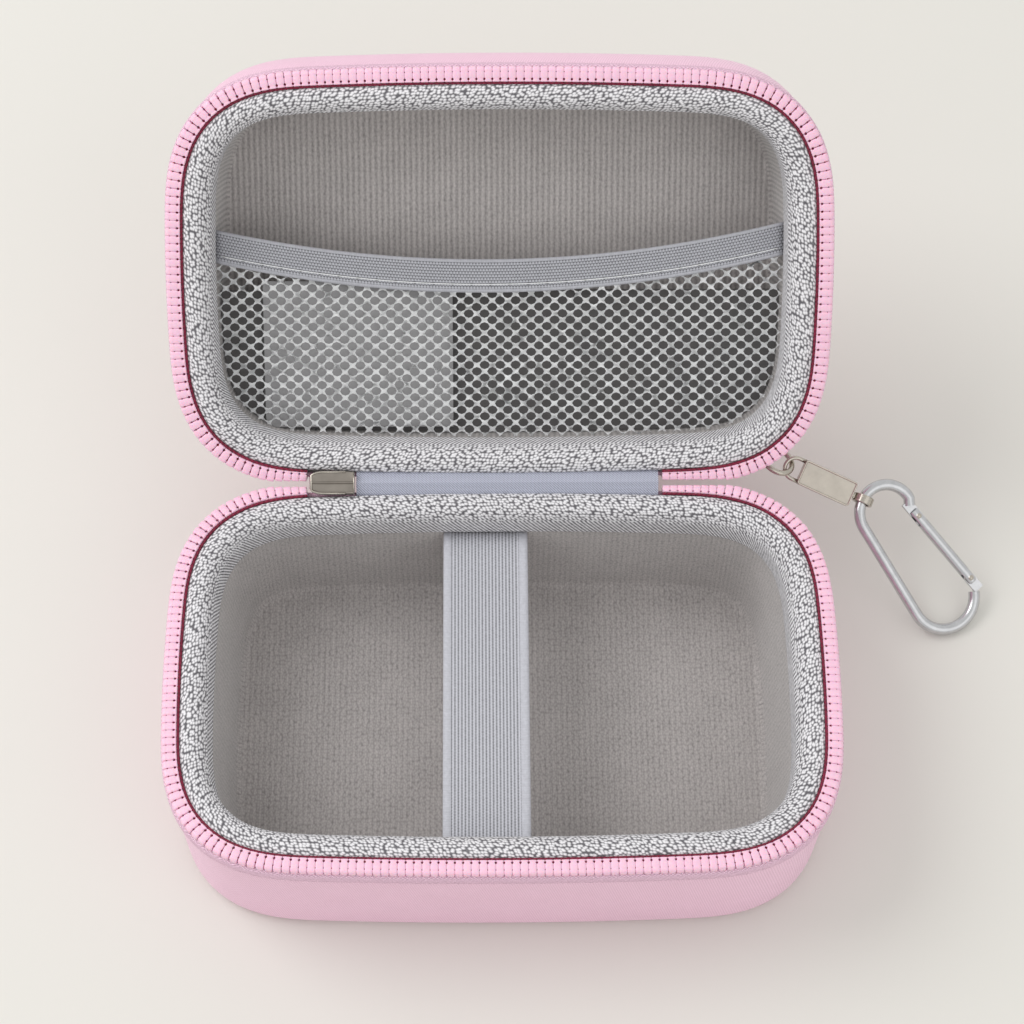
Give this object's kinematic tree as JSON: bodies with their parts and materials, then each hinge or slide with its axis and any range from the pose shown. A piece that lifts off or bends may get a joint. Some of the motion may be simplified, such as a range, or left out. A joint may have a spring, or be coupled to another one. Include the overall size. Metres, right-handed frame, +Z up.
{
  "type": "glucose meter case",
  "caption": "Soft zip case with a hinged lid, a divider strap over its deep tray, a net pocket in the lid and a small carabiner on a swivel chain.",
  "frame": {"origin": "centre of the flat underside of the base, on the surface that it stands on", "axes": "+X to the right along the hinge, +Y to the back where the hinge is, +Z up"},
  "size_m": [0.2158, 0.2006, 0.118],
  "materials": {
    "pink_oxford": "woven, matt",
    "foam": "moulded foam under cloth",
    "brushed_knit": "brushed nap, matt",
    "heather_binding": "coarse woven binding",
    "crimson_piping": "woven cord",
    "zip_tape": "herringbone tape",
    "zip_coil": "moulded coil",
    "grey_elastic": "ribbed elastic",
    "net": "knitted net",
    "blue_grey_twill": "twill",
    "dark_nickel": "aged nickel",
    "nickel": "polished nickel",
    "brushed_nickel": "brushed, raised rim",
    "clip_metal": "satin"
  },
  "bodies": {
    "case_base": {"base_cover": "pink_oxford", "base_foam_shell": "foam", "base_lining": "brushed_knit", "base_binding": "heather_binding", "base_piping": "crimson_piping", "base_zip_tape": "zip_tape", "base_zip_teeth": "zip_coil", "divider_strap": "grey_elastic", "hinge_fabric": "blue_grey_twill"},
    "lid": {"lid_cover": "pink_oxford", "lid_foam_shell": "foam", "lid_lining": "brushed_knit", "lid_binding": "heather_binding", "lid_piping": "crimson_piping", "lid_zip_tape": "zip_tape", "lid_zip_teeth": "zip_coil", "pocket_net": "net", "pocket_elastic": "grey_elastic", "clip_tab": "zip_tape"},
    "slider": {"zip_slider": "dark_nickel"},
    "puller": {"zip_puller": "dark_nickel"},
    "ring": {"chain_ring": "nickel"},
    "plate": {"chain_plate": "brushed_nickel"},
    "swivel": {"swivel_eye": "nickel"},
    "carabiner": {"carabiner_body": "clip_metal", "gate_hinge_pin": "nickel"},
    "gate": {"carabiner_gate": "clip_metal", "gate_nose_pin": "nickel", "gate_spring": "nickel"}
  },
  "joints": [
    {"name": "lid_hinge", "type": "hinge", "parent": "case_base", "child": "lid", "pos_m": [0, 0.05285, 0.04325], "axis": [1, 0, 0], "range_deg": [-24, 135.6], "deforming": ["hinge_fabric"]},
    {"name": "slider_tilt", "type": "hinge", "parent": "case_base", "child": "slider", "pos_m": [-0.04375, 0.05285, 0.04325], "axis": [1, 0, 0], "range_deg": [-12.5, 68.3]},
    {"name": "puller_swing", "type": "hinge", "parent": "slider", "child": "puller", "pos_m": [-0.04375, 0.05428, 0.03973], "axis": [0, 0.926, 0.3775], "range_deg": [-45, 45]},
    {"name": "ring_swing", "type": "hinge", "parent": "lid", "child": "ring", "pos_m": [0.07052, 0.06887, 0.03116], "axis": [-0.47, -0.8012, 0.3704], "range_deg": [-20, 30]},
    {"name": "plate_swing", "type": "hinge", "parent": "ring", "child": "plate", "pos_m": [0.07619, 0.0657, 0.02943], "axis": [0.4145, 0.8019, 0.4303], "range_deg": [-20, 22]},
    {"name": "clip_swivel", "type": "hinge", "parent": "plate", "child": "swivel", "pos_m": [0.09439, 0.05975, 0.02299], "axis": [0.9009, -0.2944, -0.319], "continuous": true},
    {"name": "clip_tilt", "type": "hinge", "parent": "swivel", "child": "carabiner", "pos_m": [0.09727, 0.05881, 0.02196], "axis": [0.3993, 0.8504, 0.3427], "range_deg": [-30, 60]},
    {"name": "gate_pivot", "type": "hinge", "parent": "carabiner", "child": "gate", "pos_m": [0.1267, 0.04289, 0.00686], "axis": [0.2076, -0.4433, 0.872], "range_deg": [0, 25], "stiffness_Nm_per_rad": 0.02, "springref_deg": -11.46}
  ],
  "couplings": [
    {"joint": "slider_tilt", "follows": "lid_hinge", "ratio": 0.5}
  ]
}
